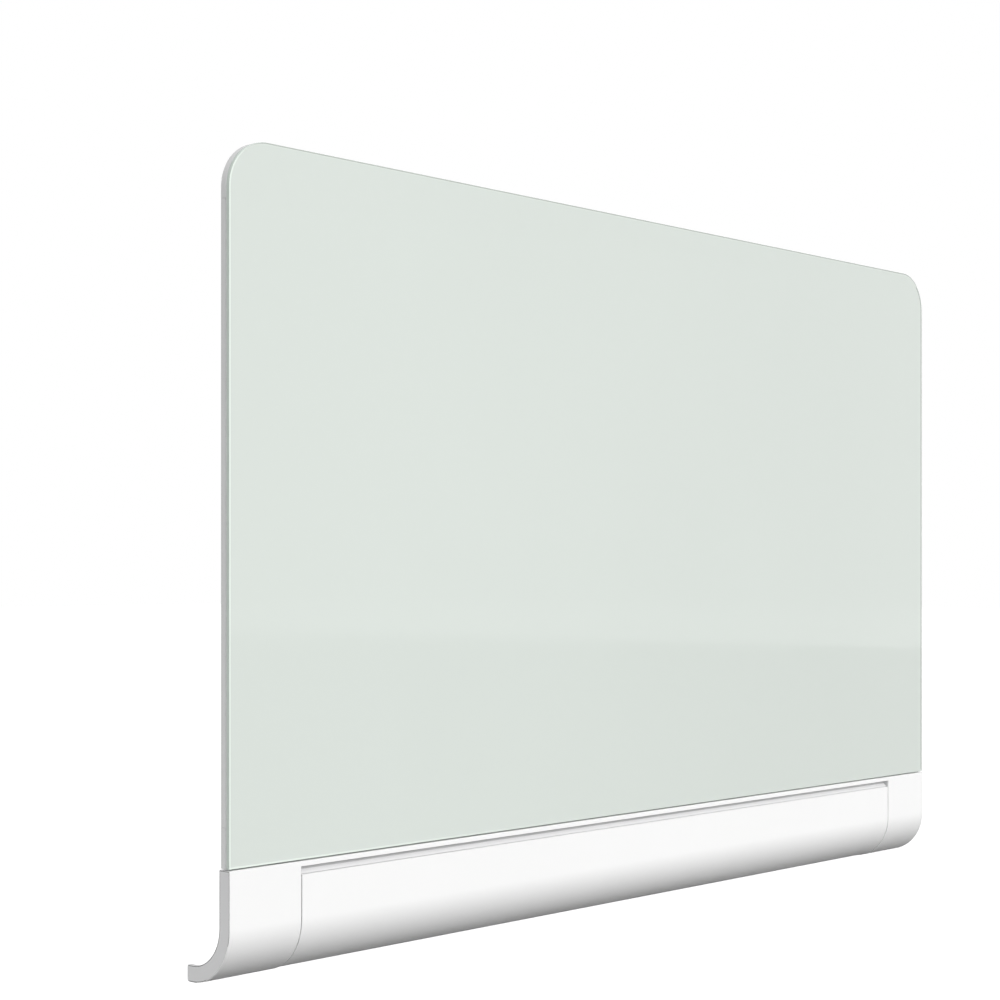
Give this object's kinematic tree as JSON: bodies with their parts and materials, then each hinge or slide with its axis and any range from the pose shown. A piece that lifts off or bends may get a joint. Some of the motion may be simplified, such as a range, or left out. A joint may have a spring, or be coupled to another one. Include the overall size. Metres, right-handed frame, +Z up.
{
  "type": "glass whiteboard",
  "caption": "Wide wall-mounted glass whiteboard with rounded top corners and a tilting marker tray hidden in its curved lower fascia.",
  "frame": {"origin": "on the wall plane, at the middle of the wall rail's back face", "axes": "+X to the right along the wall, +Y into the wall, +Z up"},
  "size_m": [1.27, 0.0675, 0.8278],
  "materials": {
    "glass_white": "gloss, tempered glass painted pale green-white on its back",
    "sheet_steel": "bright zinc-coated sheet",
    "core_fibre": "raw fibre board",
    "frame_aluminium": "satin anodised",
    "corner_plastic": "matt moulded, silver grey",
    "zinc_steel": "zinc-plated sheet steel",
    "screw_steel": "bright zinc plate",
    "white_lacquer": "smooth satin white lacquer over extruded aluminium",
    "cap_plastic": "satin moulded, light grey",
    "tray_plastic": "satin moulded, white",
    "pin_steel": "turned bright steel",
    "bush_nylon": "natural nylon",
    "pad_rubber": "matt",
    "magnet_ferrite": "matt ferrite"
  },
  "bodies": {
    "board": {"glass_panel": "glass_white", "steel_sheet": "sheet_steel", "core_board": "core_fibre", "frame_top": "frame_aluminium", "frame_bottom": "frame_aluminium", "frame_left": "frame_aluminium", "frame_right": "frame_aluminium", "frame_corner_left": "corner_plastic", "frame_corner_right": "corner_plastic", "wall_rail": "zinc_steel", "hanger_left": "zinc_steel", "hanger_right": "zinc_steel", "hanger_screw_left_1": "screw_steel", "hanger_screw_left_2": "screw_steel", "hanger_screw_right_1": "screw_steel", "hanger_screw_right_2": "screw_steel", "fascia": "white_lacquer", "end_cap_left": "cap_plastic", "end_cap_right": "cap_plastic", "side_bracket_left": "zinc_steel", "side_bracket_right": "zinc_steel", "bracket_screw_left": "screw_steel", "bracket_screw_right": "screw_steel", "fascia_screw_left": "screw_steel", "fascia_screw_right": "screw_steel", "wall_pad_left": "pad_rubber", "wall_pad_right": "pad_rubber", "joint_strap_left": "zinc_steel", "joint_strap_centre": "zinc_steel", "joint_strap_right": "zinc_steel", "strap_screw_upper_left": "screw_steel", "strap_screw_upper_centre": "screw_steel", "strap_screw_upper_right": "screw_steel", "strap_screw_lower_left": "screw_steel", "strap_screw_lower_centre": "screw_steel", "strap_screw_lower_right": "screw_steel", "pivot_bush_left": "bush_nylon", "pivot_bush_right": "bush_nylon", "stop_pin_left": "pin_steel", "stop_pin_right": "pin_steel", "magnet_left": "magnet_ferrite", "magnet_right": "magnet_ferrite"},
    "tray": {"tray_panel": "white_lacquer", "tray_lip": "white_lacquer", "tray_back": "white_lacquer", "tray_end_left": "tray_plastic", "tray_end_right": "tray_plastic", "tray_screw_left_1": "screw_steel", "tray_screw_left_2": "screw_steel", "tray_screw_right_1": "screw_steel", "tray_screw_right_2": "screw_steel", "pivot_pin_left": "pin_steel", "pivot_pin_right": "pin_steel", "pivot_clip_left": "pin_steel", "pivot_clip_right": "pin_steel", "strike_plate_left": "zinc_steel", "strike_plate_right": "zinc_steel"}
  },
  "joints": [
    {"name": "tray_tilt", "type": "hinge", "parent": "board", "child": "tray", "pos_m": [0, -0.014, -0.7218], "axis": [1, 0, 0], "range_deg": [0, 45]}
  ]
}
